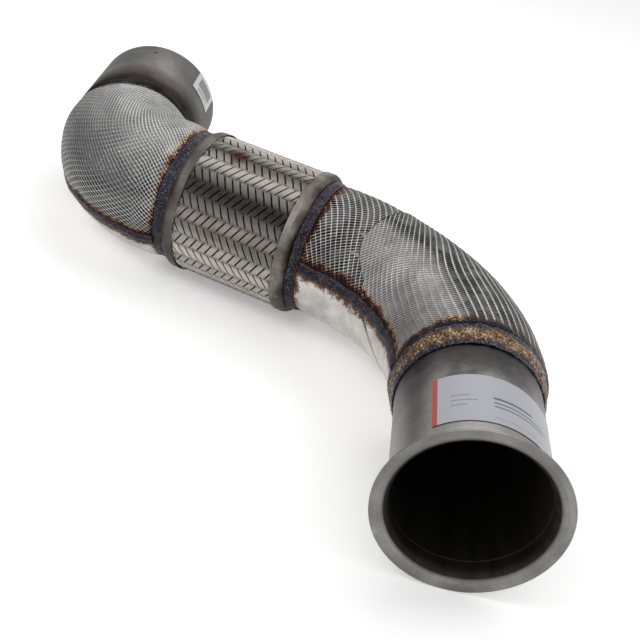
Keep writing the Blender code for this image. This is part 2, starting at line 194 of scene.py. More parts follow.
# Marks on the braid and the bare steel, the first tube entry a broad darker patch on top of the stub: place,
# angle, radius, how far they reach, and colour
RUST_MARK = (0.548, radians(74), 0.0755, 0.016)
TUBE_MARKS = (
    (0.130, radians(90), PIPE_R, 0.058, (0.035, 0.033, 0.031)),
    (0.001, radians(-30), 0.0745, 0.0035, (0.34, 0.33, 0.31)),
    (0.004, radians(-33), 0.0715, 0.0030, (0.05, 0.045, 0.04)),
)
COLLAR_MARKS = ((0.852, radians(88), COLLAR_R, 0.004, (0.05, 0.045, 0.042)),)

# Stickers
LABEL_START = 0.030
LABEL_LENGTH = 0.063
LABEL_FROM = radians(47)
LABEL_SWEEP = radians(101)
TAG_LENGTH = 0.044
TAG_END_MARGIN = 0.002
TAG_FROM = radians(134)
TAG_SWEEP = radians(29)
STICKER_THICKNESS = 0.0003
STICKER_SIDES = 60
STICKER_STEPS = 9
LABEL_EDGE = 0.036

# Plain bars on the stickers: lower and upper corner, from 0 to 1, and ink
LABEL_BARS = (
    ((0.13, 0.52), (0.26, 0.545), (0.20, 0.21, 0.23)),
    ((0.13, 0.42), (0.31, 0.445), (0.20, 0.21, 0.23)),
    ((0.13, 0.32), (0.24, 0.345), (0.20, 0.21, 0.23)),
    ((0.42, 0.50), (0.72, 0.54), (0.06, 0.06, 0.07)),
    ((0.42, 0.41), (0.90, 0.44), (0.11, 0.11, 0.12)),
    ((0.42, 0.33), (0.84, 0.36), (0.11, 0.11, 0.12)),
    ((0.42, 0.10), (0.80, 0.118), (0.24, 0.25, 0.27)),
)
TAG_BARS = (
    ((0.16, 0.36), (0.84, 0.84), (0.16, 0.165, 0.17)),
    ((0.20, 0.22), (0.80, 0.27), (0.12, 0.12, 0.13)),
    ((0.20, 0.12), (0.62, 0.17), (0.12, 0.12, 0.13)),
)


class Spine:
    """Centre line as straight runs and arcs. Each frame has X to the left, Y up and Z forward."""

    def __init__(self, rest):
        self.runs = []
        self.length = 0.0
        self.end = rest @ Matrix(((-1, 0, 0, 0), (0, 0, 1, 0), (0, 1, 0, 0), (0, 0, 0, 1)))

    def add(self, length, radius):
        self.runs.append((self.length, radius, self.end.copy()))
        self.length += length
        self.end = self.frame(self.length)

    def straight(self, length):
        self.add(length, None)

    def bend(self, radius, angle):
        self.add(abs(radius) * angle, radius)

    def roll(self, angle):
        self.end = self.end @ Matrix.Rotation(angle, 4, "Z")

    def frame(self, s):
        start, radius, pose = next(run for run in reversed(self.runs) if s >= run[0] or run is self.runs[0])
        if radius is None:
            return pose @ Matrix.Translation((0, 0, s - start))
        turn = Matrix.Rotation((s - start) / radius, 4, "Y")
        return pose @ Matrix.Translation((radius, 0, 0)) @ turn @ Matrix.Translation((-radius, 0, 0))


def laid_out_spine():
    turn = Vector(REST_UP).rotation_difference(Vector((0, 0, 1))).to_matrix().to_4x4()
    spine = Spine(Matrix.Translation(REST_PLACE) @ turn)
    spine.straight(STUB_LENGTH)
    spine.bend(FRONT_BEND_RADIUS, FRONT_BEND_ANGLE)
    spine.straight(FRONT_NECK + FLEX_LENGTH)
    spine.roll(-REAR_RISE)
    spine.straight(REAR_NECK)
    spine.bend(-REAR_BEND_RADIUS, REAR_BEND_ANGLE)
    spine.straight(OUTLET_NECK + COLLAR_LENGTH)
    return spine


SPINE = laid_out_spine()
FRONT_BEND_END = STUB_LENGTH + FRONT_BEND_RADIUS * FRONT_BEND_ANGLE
FLEX_START = FRONT_BEND_END + FRONT_NECK
FLEX_END = FLEX_START + FLEX_LENGTH
CAP_LENGTH = CAP_LIP + CAP_SHOULDER
OUTLET_BEND_END = FLEX_END + REAR_NECK + REAR_BEND_RADIUS * REAR_BEND_ANGLE
COLLAR_START = OUTLET_BEND_END + OUTLET_NECK
FRONT_END_R = FRONT_JACKET_R - FRONT_END_DROP
REAR_END_R = REAR_JACKET_R - REAR_END_DROP
CAP_END_R = CAP_R - CAP_DROP

# Each jacket's span, radius, and how far that eases down at its ends
FRONT_FORM = ((STUB_BARE + RING_STUB_WIDTH, FRONT_BEND_END + SEAT), FRONT_JACKET_R, FRONT_END_DROP)
REAR_START = FLEX_END + CAP_LENGTH + RING_FLEX_REAR_WIDTH + SEAT
REAR_FORM = ((REAR_START, OUTLET_BEND_END), REAR_JACKET_R, REAR_END_DROP)


def unbent_points(places, angles, radii):
    """Points round the centre line when that is unbent along Z."""
    places, angles, radii = np.broadcast_arrays(places, angles, radii)
    return np.stack([radii * np.cos(angles), radii * np.sin(angles), places], axis=-1)


def wrapped(places, angles, radii):
    """Points round the bent centre line, and the same points with the line unbent."""
    unbent = unbent_points(places, angles, radii)
    marks, which = np.unique(unbent[..., 2], return_inverse=True)
    frames = np.array([np.array(SPINE.frame(s)) for s in marks])[which.reshape(unbent.shape[:-1])]
    sideways, upwards = unbent[..., :1], unbent[..., 1:2]
    bent = frames[..., :3, 3] + sideways * frames[..., :3, 0] + upwards * frames[..., :3, 1]
    return bent, unbent


def grid_faces(rows, columns, wrap_rows, wrap_columns):
    """Four-sided faces of a grid of points, closed on itself in either direction if asked."""
    down = np.arange(rows if wrap_rows else rows - 1)
    across = np.arange(columns if wrap_columns else columns - 1)
    i, j = np.meshgrid(down, across, indexing="ij")
    here = i * columns
    beyond = (i + 1) % rows * columns
    nearby = (j + 1) % columns
    return np.stack([here + j, here + nearby, beyond + nearby, beyond + j], axis=-1).reshape(-1, 4)


def new_piece(name, points, faces, unbent, fields, finish, nodes):
    """One mesh object that rides on the pipe and stands for the named nodes."""
    mesh = bpy.data.meshes.new(name)
    mesh.vertices.add(points.size // 3)
    mesh.vertices.foreach_set("co", points.astype(np.float32).ravel())
    mesh.loops.add(faces.size)
    mesh.loops.foreach_set("vertex_index", faces.astype(np.int32).ravel())
    mesh.polygons.add(len(faces))
    mesh.polygons.foreach_set("loop_start", np.arange(0, faces.size, 4, dtype=np.int32))
    mesh.update(calc_edges=True)
    mesh.validate()
    place = mesh.attributes.new("unbent", "FLOAT_VECTOR", "POINT")
    place.data.foreach_set("vector", unbent.astype(np.float32).ravel())
    for label, values in fields.items():
        made = mesh.attributes.new(label, "FLOAT", "POINT")
        made.data.foreach_set("value", values.astype(np.float32).ravel())
    mesh.shade_smooth()
    mesh.set_sharp_from_angle(angle=radians(50))
    mesh.materials.append(finish)
    piece = bpy.data.objects.new(name, mesh)
    bpy.context.scene.collection.objects.link(piece)
    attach(piece, "root")
    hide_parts(*nodes)


def ring_piece(name, section, sides, finish, node, fields, shape=None, span=None):
    """A closed (s, r) section carried all the way round, or over a span of angles with closed ends.

    Shape and each field are rules of the places, angles and radii of its points.
    """
    section = np.array(section)
    if span is None:
        angles = np.arange(sides) * 2 * pi / sides
    else:
        angles = span[0] + np.arange(sides + 1) * span[1] / sides
    places = np.repeat(section[:, :1], len(angles), axis=1)
    radii = np.repeat(section[:, 1:], len(angles), axis=1)
    if shape is not None:
        radii = radii + shape(places, angles[None, :], radii)
    points, unbent = wrapped(places, angles[None, :], radii)
    faces = grid_faces(len(section), len(angles), True, span is None)
    if span is not None:
        half = len(section) // 2
        rows = np.arange(half - 1)
        count = len(angles)
        facing = len(section) - 1 - rows
        start = np.stack([rows, rows + 1, facing - 1, facing], axis=-1) * count
        faces = np.concatenate([faces, start, start[:, ::-1] + count - 1])
    made = {key: rule(places, angles[None, :], radii) for key, rule in fields.items()}
    flat = {key: np.broadcast_to(values, places.shape) for key, values in made.items()}
    new_piece(name, points, faces, unbent, flat, finish, [node])


def sheet(path, wall):
    """Closed section of bent sheet: the path, and the same path a wall further in, back to front."""
    path = np.array(path)
    along = np.gradient(path, axis=0)
    along /= np.linalg.norm(along, axis=1)[:, None]
    inner = path + wall * np.stack([along[:, 1], -along[:, 0]], axis=1)
    return np.concatenate([path, inner[::-1]])


def arc(centre, radius, first, last, steps):
    turns = np.linspace(first, last, steps + 1)
    return [(centre[0] + radius * cos(t), centre[1] + radius * sin(t)) for t in turns]


def cloud(unbent, size, seed):
    """Smooth noise of about -1 to 1 at each point."""
    flat = unbent.reshape(-1, 3) / size + seed * 17.3
    return np.array([noise.noise(Vector(p)) for p in flat]).reshape(unbent.shape[:-1]) * 1.6


# Materials


def add_node(tree, kind, settings=(), **inputs):
    """Adds a shader node. Inputs are given by name with _ for a space, or by index as i0, i1."""
    node = tree.nodes.new("ShaderNode" + kind)
    for key, value in dict(settings).items():
        setattr(node, key, value)
    for key, value in inputs.items():
        place = int(key[1:]) if key[0] == "i" and key[1:].isdigit() else key.replace("_", " ")
        socket = node.inputs[place]
        if isinstance(value, bpy.types.NodeSocket):
            tree.links.new(value, socket)
        else:
            socket.default_value = value
    return node


def maths(tree, operation, *values):
    inputs = {f"i{i}": value for i, value in enumerate(values)}
    return add_node(tree, "Math", {"operation": operation}, **inputs).outputs[0]


def plus(tree, first, second):
    return maths(tree, "ADD", first, second)


def times(tree, first, second):
    return maths(tree, "MULTIPLY", first, second)


def level(tree, name):
    """Value of a field that the piece's points carry."""
    return add_node(tree, "Attribute", {"attribute_name": name}).outputs["Fac"]


def unbent_place(tree):
    return add_node(tree, "Attribute", {"attribute_name": "unbent"}).outputs["Vector"]


def noise_of(tree, vector, stretch, detail=3, rough=0.55):
    """A noise whose features are 1 / stretch metres across in each direction."""
    stretched = add_node(tree, "VectorMath", {"operation": "MULTIPLY"}, i0=vector, i1=stretch).outputs[0]
    made = add_node(tree, "TexNoise", Vector=stretched, Scale=1.0, Detail=detail, Roughness=rough)
    return made.outputs["Fac"]


def graded(tree, value, low, high, to_low, to_high, smooth=False):
    settings = {"interpolation_type": "SMOOTHSTEP"} if smooth else {}
    made = add_node(tree, "MapRange", settings, Value=value, i1=low, i2=high, i3=to_low, i4=to_high)
    return made.outputs[0]


def spread(tree, noise_value, to_low, to_high):
    """A noise stretched to a range. Nearly all of a noise lies between 0.3 and 0.7."""
    return graded(tree, noise_value, 0.3, 0.7, to_low, to_high)


def scaled(colour, share):
    return tuple(min(1, share * channel) for channel in colour)


def mixed(tree, share, first, second, blend="MIX"):
    node = add_node(tree, "Mix", {"data_type": "RGBA", "blend_type": blend})
    for socket, value in ((node.inputs[0], share), (node.inputs[6], first), (node.inputs[7], second)):
        if isinstance(value, bpy.types.NodeSocket):
            tree.links.new(value, socket)
        else:
            socket.default_value = (*value, 1) if isinstance(value, tuple) else value
    return node.outputs[2]


def ramp(tree, value, stops):
    node = add_node(tree, "ValToRGB", Fac=value)
    colours = node.color_ramp.elements
    colours[0].position, colours[0].color = stops[0][0], (*stops[0][1], 1)
    colours[1].position, colours[1].color = stops[-1][0], (*stops[-1][1], 1)
    for place, colour in stops[1:-1]:
        colours.new(place).color = (*colour, 1)
    return node.outputs["Color"]


def new_finish(name, metallic):
    made = bpy.data.materials.new(name)
    made.use_nodes = True
    tree = made.node_tree
    shader = tree.nodes["Principled BSDF"]
    shader.inputs["Metallic"].default_value = metallic
    return made, tree, shader


def finish_off(tree, shader, colour, roughness, height, depth):
    tree.links.new(colour, shader.inputs["Base Color"])
    tree.links.new(roughness, shader.inputs["Roughness"])
    bump = add_node(tree, "Bump", Strength=1.0, Distance=depth, Height=height)
    tree.links.new(bump.outputs[0], shader.inputs["Normal"])


def where_on(tree, s, angle, radius, reach):
    """1 at a place on the pipe, falling to 0 at the reach from it, with a ragged edge."""
    vector = unbent_place(tree)
    centre = (radius * cos(angle), radius * sin(angle), s)
    away = add_node(tree, "VectorMath", {"operation": "DISTANCE"}, i0=vector, i1=centre).outputs["Value"]
    ragged = spread(tree, noise_of(tree, vector, (60, 60, 60)), -0.25, 0.25)
    away = plus(tree, maths(tree, "DIVIDE", away, reach), ragged)
    return graded(tree, away, 1, 0.2, 0, 1, smooth=True)


def brushed_steel(name, colour, worn, tint, tint_reach, marks=(), rough=0.34, rim=1.0):
    """Ground tube: lines round the tube, cloudy patches, a heat tint and a bore painted dark as shade.

    The tint has three colours, outwards from the weld, and reaches so many millimetres.
    """
    made, tree, shader = new_finish(name, 1.0)
    vector = unbent_place(tree)
    lines = noise_of(tree, vector, (14, 14, 2600), 4)
    coarse = noise_of(tree, vector, (9, 9, 420), 2)
    patches = noise_of(tree, vector, (26, 26, 15), 4)
    specks = noise_of(tree, vector, (700, 700, 900), 2)
    shade = mixed(tree, graded(tree, patches, 0.32, 0.7, 0, 1, smooth=True), colour, worn)
    grooves = plus(tree, times(tree, lines, 0.6), times(tree, coarse, 0.4))
    tone = graded(tree, grooves, 0.36, 0.66, 0.82, 1.16)
    brushing = add_node(tree, "CombineColor", i0=tone, i1=tone, i2=tone).outputs[0]
    shade = mixed(tree, 1.0, shade, brushing, "MULTIPLY")
    shade = mixed(tree, graded(tree, specks, 0.64, 0.8, 0, 0.4), shade, scaled(worn, 2.2))
    shade = mixed(tree, graded(tree, specks, 0.36, 0.24, 0, 0.6), shade, scaled(colour, 0.3))
    for s, angle, radius, reach, patch_colour in marks:
        shade = mixed(tree, where_on(tree, s, angle, radius, reach), shade, patch_colour)
    heat = times(tree, level(tree, "from_weld"), 1000)
    ragged = spread(tree, noise_of(tree, vector, (45, 45, 70), 4), -5, 5)
    share = graded(tree, plus(tree, heat, ragged), -1, tint_reach, 0, 1)
    hot = add_node(tree, "ValToRGB", Fac=share)
    stops = hot.color_ramp.elements
    stops[0].color = (*tint[0], 0.95)
    stops[1].color = (*tint[2], 0.0)
    stops.new(0.33).color = (*tint[1], 0.8)
    stops.new(0.62).color = (*tint[2], 0.45)
    shade = mixed(tree, hot.outputs["Alpha"], shade, hot.outputs["Color"])
    # The bore is painted near black as shade, since little light reaches into it
    inside = level(tree, "bore")
    streaks = noise_of(tree, vector, (90, 90, 12), 3)
    inner_shade = mixed(tree, spread(tree, streaks, 0, 1), (0.022, 0.020, 0.019), (0.042, 0.039, 0.036))
    depth = add_node(tree, "SeparateXYZ", Vector=vector).outputs["Z"]
    ring = maths(tree, "ABSOLUTE", maths(tree, "SUBTRACT", depth, BORE_RING_PLACE))
    inner_shade = mixed(tree, graded(tree, ring, BORE_RING_HALF_WIDTH, 0, 0, 0.6), inner_shade, (0.21, 0.20, 0.19))
    shade = mixed(tree, inside, shade, inner_shade)
    uneven = plus(tree, patches, times(tree, lines, 0.5))
    roughness = graded(tree, uneven, 0.4, 1.1, rough, rough + 0.16)
    roughness = maths(tree, "MAXIMUM", roughness, times(tree, inside, 0.7))
    finish_off(tree, shader, shade, roughness, grooves, 0.00006)
    shader.inputs["Anisotropic"].default_value = 0.4
    shader.inputs["Specular Tint"].default_value = (rim, rim, rim, 1)
    return made


# Colours of scorched foil, outwards from a weld
HEAT_STOPS = (
    (0.00, (0.010, 0.013, 0.021)),
    (0.16, (0.018, 0.022, 0.036)),
    (0.26, (0.040, 0.022, 0.026)),
    (0.34, (0.150, 0.048, 0.028)),
    (0.48, (0.250, 0.120, 0.060)),
    (0.66, (0.420, 0.340, 0.240)),
)


def pits(tree, row, dot, ridge):
    """How raised the stamped foil is, from its rows and the finer ridges across them."""
    line = maths(tree, "COSINE", times(tree, row, 2 * pi))
    line = maths(tree, "POWER", graded(tree, line, -1, 1, 0, 1), LINE_SHARPNESS)
    cross = graded(tree, maths(tree, "COSINE", times(tree, dot, 2 * pi)), -1, 1, 0, 1)
    beads = times(tree, line, graded(tree, cross, 0, 1, 1 - BEAD_DEPTH, 1))
    return maths(tree, "MAXIMUM", beads, times(tree, cross, ridge))


def foil(name, soft, crisp, pit_shade_colour, reach=0.0135, sheen=0.26, start=0.0):
    """Embossed bright foil, its pits painted dark as shade and its crests painted lighter by a contrast
    level. Round each weld it runs from blue-black through red and straw to silver.
    """
    made, tree, shader = new_finish(name, 1.0)
    vector = unbent_place(tree)
    raised = pits(tree, *(level(tree, name) for name in ("row", "dot", "ridge")))
    heat = plus(tree, maths(tree, "DIVIDE", level(tree, "from_weld"), reach), start)
    ragged = spread(tree, noise_of(tree, vector, (80, 80, 80), 4), -0.32, 0.32)
    fine = spread(tree, noise_of(tree, vector, (520, 520, 520), 3), -0.26, 0.26)
    heat = plus(tree, heat, plus(tree, ragged, fine))
    hot = graded(tree, heat, 0.5, 1.0, 1, 0, smooth=True)
    uneven = spread(tree, noise_of(tree, vector, (60, 60, 60), 3), -0.15, 0.15)
    painted_contrast = plus(tree, level(tree, "painted_contrast"), uneven)
    painted_contrast = maths(tree, "MAXIMUM", painted_contrast, times(tree, hot, 0.75))
    # Pits painted dark as shade, and crests painted lighter, where the contrast level is high
    pit_shade = times(tree, graded(tree, raised, 0.88, 0.42, 0, 1, smooth=True), painted_contrast)
    crest = mixed(tree, painted_contrast, soft, crisp)
    patches = graded(tree, noise_of(tree, vector, (38, 38, 38), 3), 0.35, 0.68, 0, 0.5, smooth=True)
    crest = mixed(tree, patches, crest, scaled(soft, 0.62))
    # A band of painted shade dims the crests
    crest = mixed(tree, level(tree, "painted_shade"), crest, scaled(soft, 0.18))
    glints = noise_of(tree, vector, (620, 620, 620), 2)
    crest = mixed(tree, graded(tree, glints, 0.62, 0.74, 0, 0.45), crest, scaled(crisp, 1.8))
    crest = mixed(tree, hot, crest, ramp(tree, heat, HEAT_STOPS))
    reds = noise_of(tree, vector, (380, 380, 380), 2)
    reds = times(tree, graded(tree, reds, 0.54, 0.66, 0, 0.8), graded(tree, heat, 0.62, 0.40, 0, 1))
    reds = times(tree, reds, graded(tree, heat, 0.10, 0.25, 0, 1))
    crest = mixed(tree, reds, crest, (0.150, 0.026, 0.018))
    shade = mixed(tree, times(tree, pit_shade, 0.97), crest, pit_shade_colour)
    # A painted shadow along the lap step and the crease
    fold_shade = times(tree, level(tree, "fold"), 0.9)
    shade = mixed(tree, fold_shade, shade, (0.016, 0.014, 0.013))
    crumple = noise_of(tree, vector, (420, 420, 420), 3)
    roughness = spread(tree, crumple, sheen, sheen + 0.16)
    roughness = plus(tree, roughness, graded(tree, heat, 0.0, 0.6, 0.22, 0))
    roughness = maths(tree, "MAXIMUM", roughness, fold_shade)
    relief = plus(tree, times(tree, raised, 0.6), times(tree, crumple, 0.4))
    finish_off(tree, shader, shade, roughness, relief, 0.0005)
    return made


def scorched_band(name):
    """Crushed foil between two welds: brown and straw specks on dark, blue-black at both edges."""
    made, tree, shader = new_finish(name, 1.0)
    vector = unbent_place(tree)
    specks = noise_of(tree, vector, (560, 560, 380), 3, 0.65)
    patches = noise_of(tree, vector, (90, 90, 140), 3)
    mottled = plus(tree, times(tree, specks, 0.75), times(tree, patches, 0.25))
    straw = ramp(tree, mottled, (
        (0.38, (0.016, 0.013, 0.012)),
        (0.46, (0.070, 0.040, 0.022)),
        (0.53, (0.170, 0.105, 0.055)),
        (0.62, (0.420, 0.340, 0.230)),
    ))
    scorched = ramp(tree, specks, (
        (0.36, (0.009, 0.011, 0.017)),
        (0.52, (0.026, 0.030, 0.044)),
        (0.66, (0.110, 0.112, 0.125)),
    ))
    heat = maths(tree, "DIVIDE", level(tree, "from_weld"), 0.010)
    heat = plus(tree, heat, spread(tree, patches, -0.25, 0.25))
    heat = plus(tree, heat, spread(tree, specks, -0.15, 0.15))
    shade = mixed(tree, graded(tree, heat, 0.46, 0.72, 0, 1, smooth=True), scorched, straw)
    ember = times(tree, graded(tree, heat, 0.38, 0.54, 0, 1), graded(tree, heat, 0.74, 0.58, 0, 1))
    shade = mixed(tree, times(tree, ember, 0.7), shade, (0.130, 0.038, 0.018))
    finish_off(tree, shader, shade, spread(tree, specks, 0.5, 0.26), specks, 0.0009)
    return made


def weld_strip(name):
    """Rolled weld: crushed foil, blue-black with purple and brown patches and a few painted bright glints."""
    made, tree, shader = new_finish(name, 1.0)
    vector = unbent_place(tree)
    heat = maths(tree, "DIVIDE", level(tree, "from_weld"), 0.005)
    patches = noise_of(tree, vector, (120, 120, 80), 4)
    glint_specks = noise_of(tree, vector, (760, 760, 600), 3)
    shade = ramp(tree, patches, (
        (0.34, (0.010, 0.012, 0.019)),
        (0.48, (0.018, 0.021, 0.032)),
        (0.60, (0.030, 0.027, 0.034)),
        (0.74, (0.090, 0.060, 0.045)),
    ))
    edge = plus(tree, heat, spread(tree, patches, -0.3, 0.3))
    shade = mixed(tree, graded(tree, edge, 0.0, 0.35, 0.6, 0, smooth=True), shade, (0.075, 0.024, 0.016))
    # Painted bright glints
    shade = mixed(tree, graded(tree, glint_specks, 0.53, 0.70, 0, 0.8), shade, (0.155, 0.150, 0.158))
    finish_off(tree, shader, shade, spread(tree, glint_specks, 0.52, 0.3), glint_specks, 0.0007)
    return made


def braid_wire(name):
    """Fine stainless wire with a warm cast, painted bands of light and shade, painted shade where strands dip
    under, and one rusty smear.
    """
    made, tree, shader = new_finish(name, 1.0)
    vector = unbent_place(tree)
    patches = noise_of(tree, vector, (60, 60, 45), 3)
    grain = noise_of(tree, vector, (1500, 1500, 1500), 2)
    crest = level(tree, "relief")
    # Painted bands of light and shade round the braid
    tone = times(tree, level(tree, "tone"), spread(tree, patches, 0.8, 1.2))
    shade = mixed(tree, tone, (0.010, 0.009, 0.009), (0.52, 0.485, 0.440))
    # Painted shade where the strands dip under the crossing ones
    shade = mixed(tree, graded(tree, crest, 0.80, 0.30, 0, 0.95), shade, (0.008, 0.0075, 0.007))
    shade = mixed(tree, graded(tree, grain, 0.55, 0.75, 0, 0.4), shade, (0.42, 0.395, 0.37))
    rust = where_on(tree, *RUST_MARK)
    shade = mixed(tree, times(tree, rust, 0.9), shade, (0.060, 0.022, 0.014))
    roughness = spread(tree, patches, 0.3, 0.44)
    finish_off(tree, shader, shade, roughness, grain, 0.00008)
    return made


def shaded_steel(name, colour):
    """Steel inside the pipe or under the braid, painted near black as shade."""
    made, tree, shader = new_finish(name, 1.0)
    place = add_node(tree, "TexCoord").outputs["Object"]
    patches = noise_of(tree, place, (60, 60, 60), 4)
    shade = mixed(tree, spread(tree, patches, 0, 1), colour, scaled(colour, 0.5))
    finish_off(tree, shader, shade, spread(tree, patches, 0.5, 0.7), patches, 0.0002)
    return made


def fibre_mat(name):
    """Tufted mat of pale mineral fibre."""
    made, tree, shader = new_finish(name, 0.0)
    place = add_node(tree, "TexCoord").outputs["Object"]
    tufts = noise_of(tree, place, (700, 220, 700), 5, 0.7)
    shade = mixed(tree, spread(tree, tufts, 0, 1), (0.34, 0.29, 0.21), (0.62, 0.55, 0.43))
    finish_off(tree, shader, shade, spread(tree, tufts, 0.85, 1.0), tufts, 0.002)
    return made


def sticker(name, paper, bars, stripe):
    """Satin paper with plain grey bars where print would be, and an optional red edge."""
    made, tree, shader = new_finish(name, 0.0)
    vector = unbent_place(tree)
    sides = (level(tree, "across"), level(tree, "along"))
    fibres = noise_of(tree, vector, (900, 900, 900), 3)
    shade = mixed(tree, spread(tree, fibres, 0, 1), paper, scaled(paper, 0.93))
    for low, high, ink in bars:
        inside = 1
        for value, first, last in zip(sides, low, high):
            inside = times(tree, inside, maths(tree, "GREATER_THAN", value, first))
            inside = times(tree, inside, maths(tree, "LESS_THAN", value, last))
        shade = mixed(tree, inside, shade, ink)
    if stripe:
        shade = mixed(tree, maths(tree, "LESS_THAN", sides[0], stripe), shade, (0.36, 0.035, 0.025))
    finish_off(tree, shader, shade, spread(tree, fibres, 0.34, 0.5), fibres, 0.00005)
    return made


# Jackets


def eased_radius(places, form):
    """Radius of a jacket, which eases down at both ends of its span."""
    span, body, drop = form
    near = np.clip(np.minimum(places - span[0], span[1] - places) / JACKET_EASE, 0, 1)
    return body - drop * (1 - near) ** 2


def lap_line(angles):
    """Where the front jacket's upper shell ends in a lap, as a place along the pipe."""
    short = np.clip(radians(55) - angles, 0, None)
    return LAP_PLACE - 0.05 * (short / radians(36)) ** 2


def rows_across(along, around, turn, pitch):
    """Straight rows: how many rows a point lies from the first one."""
    return (along * cos(turn) + around * sin(turn)) / pitch


def embossed(row, dot, ridge):
    """Raised lines with finer cross ridges between them: 1 on a line and 0 in a pit."""
    line = (0.5 + 0.5 * np.cos(2 * pi * row)) ** LINE_SHARPNESS
    cross = 0.5 + 0.5 * np.cos(2 * pi * dot)
    return np.maximum(line * (1 - BEAD_DEPTH * (1 - cross)), ridge * cross)


def front_pattern(places, angles, around, drift, bend):
    """Rows that bow more and more round the pipe along the bend, and straight rows beyond the lap."""
    ahead = places - FRONT_ROW_START
    curl = 1 + FRONT_ROW_CURL
    turned = FRONT_ROW_SLOPE * ahead + FRONT_ROW_BOW * np.clip(ahead, 0, 1) ** curl / curl
    row = (around - turned + FRONT_ROW_WANDER * drift) / FRONT_ROW_PITCH
    dot = rows_across(places + WANDER * bend, around, FRONT_DOT_TURN, FRONT_DOT_PITCH)
    beyond = places > lap_line(angles)
    row = np.where(beyond, rows_across(places + WANDER * drift, around, LAP_ROW_TURN, LAP_ROW_PITCH), row)
    dot = np.where(beyond, rows_across(places, around + WANDER * bend, LAP_DOT_TURN, FRONT_DOT_PITCH), dot)
    # The far side gets the strongest painted contrast
    far_side = smooth_step(angles, *FRONT_FAR_SIDE)
    painted_contrast = FRONT_PAINTED_CONTRAST + (1 - FRONT_PAINTED_CONTRAST) * np.maximum(far_side, beyond)
    ridge = np.where(beyond, LAP_RIDGE, FRONT_RIDGE - FRONT_RIDGE_FALL * far_side)
    return row, dot, painted_contrast, ridge, 0


def rear_pattern(places, angles, around, drift, bend):
    """Straight slanted rows, with more painted contrast by the flex and on the near side, and a band of
    painted shade on top.
    """
    row = rows_across(places + REAR_ROW_WANDER * drift, around, REAR_ROW_TURN, REAR_ROW_PITCH)
    dot = rows_across(places, around + REAR_DOT_WANDER * bend, REAR_DOT_TURN, REAR_DOT_PITCH)
    by_flex = smooth_step(places, *REAR_CRISP_PLACES) * smooth_step(angles, *REAR_CRISP_ANGLES)
    crisp = np.maximum(smooth_step(angles, *REAR_CRISP_SIDE), by_flex)
    painted_contrast = REAR_PAINTED_CONTRAST + (1 - REAR_PAINTED_CONTRAST) * crisp
    painted_shade = REAR_PAINTED_SHADE * np.exp(-((angles - REAR_PAINTED_SHADE_MIDDLE) / REAR_PAINTED_SHADE_WIDTH) ** 2)
    painted_shade = painted_shade * smooth_step(places, *REAR_PAINTED_SHADE_PLACES)
    return row, dot, painted_contrast, REAR_RIDGE, painted_shade


def plain_pattern(places, angles, around, drift, bend):
    """Small squares on the slant, for the lower shells."""
    row = rows_across(places + WANDER * drift, around, radians(45), FRONT_DOT_PITCH)
    dot = rows_across(places, around + WANDER * bend, radians(-45), FRONT_DOT_PITCH)
    return row, dot, PLAIN_PAINTED_CONTRAST, PLAIN_RIDGE, 0


def smooth_step(values, low, high):
    """0 up to low and 1 from high on, with an eased rise between them."""
    share = np.clip((values - low) / (high - low), 0, 1)
    return share * share * (3 - 2 * share)


def to_line(places, angles, first, last, radius):
    """Distance from a straight line drawn on the foil between two places."""
    start = np.array([first[0], first[1] * radius])
    reach = np.array([last[0], last[1] * radius]) - start
    x, y = places - start[0], angles * radius - start[1]
    share = np.clip((x * reach[0] + y * reach[1]) / (reach @ reach), 0, 1)
    return np.hypot(x - share * reach[0], y - share * reach[1])


def jacket(name, form, start, pattern, finish, node, welds, fold):
    """One embossed half shell of a jacket, a single sheet whose ends turn in.

    It starts at one seam's angle. Welds are how far the heat of either end band reaches onto it.
    """
    (first, last), body, _ = form
    rows = int(round((last - first) / EMBOSS_CELL)) + 1
    columns = int(round(pi * body / EMBOSS_CELL)) + 1
    places = np.linspace(first, last, rows)[:, None]
    angles = start + np.linspace(SHELL_EDGE_ANGLE, pi - SHELL_EDGE_ANGLE, columns)[None, :]
    smooth_r = eased_radius(places, form)
    around = (angles - start) * body
    points = unbent_points(places, angles, np.full_like(angles, body))
    drift = cloud(points, 0.055, 1)
    bend = cloud(points, 0.05, 2)
    row, dot, painted_contrast, ridge, painted_shade = pattern(places, angles, around, drift, bend)
    to_seam = np.minimum(around, pi * body - around)
    to_end = np.minimum(places - first - welds[0], last - places - welds[1])
    heat = np.minimum(to_seam - SEAM_HALF_WIDTH, to_end + END_HEAT_LEAD)
    flattened = np.clip(np.minimum(heat + FLAT_LEAD, to_end + FLAT_END_LEAD) / FLAT_REACH, FLAT_LEAST, 1)
    crushed = DENT_HEIGHT + END_DENT_HEIGHT * np.exp(-np.clip(to_end, 0, 1) / END_DENT_REACH)
    dents = cloud(points, DENT_SIZE, 3) * crushed
    depth = EMBOSS_HEIGHT * (PLAIN_HEIGHT if pattern is plain_pattern else 1)
    radii = smooth_r + dents + depth * flattened * (embossed(row, dot, ridge) - EMBOSS_MIDDLE)
    fold_shade = 0
    if fold:
        step, fold_shade = fold(places, angles)
        radii = radii + step
    radii[[0, -1]] -= SHELL_TURN_IN
    bent, unbent = wrapped(places, angles, radii)
    faces = grid_faces(rows, columns, False, False)
    fields = {"from_weld": np.clip(heat, -0.01, 1), "row": row, "dot": dot, "fold": fold_shade}
    fields |= {"painted_contrast": painted_contrast, "ridge": ridge, "painted_shade": painted_shade}
    fields = {key: np.broadcast_to(values, radii.shape) for key, values in fields.items()}
    new_piece(name, bent, faces, unbent, fields, finish, [node])


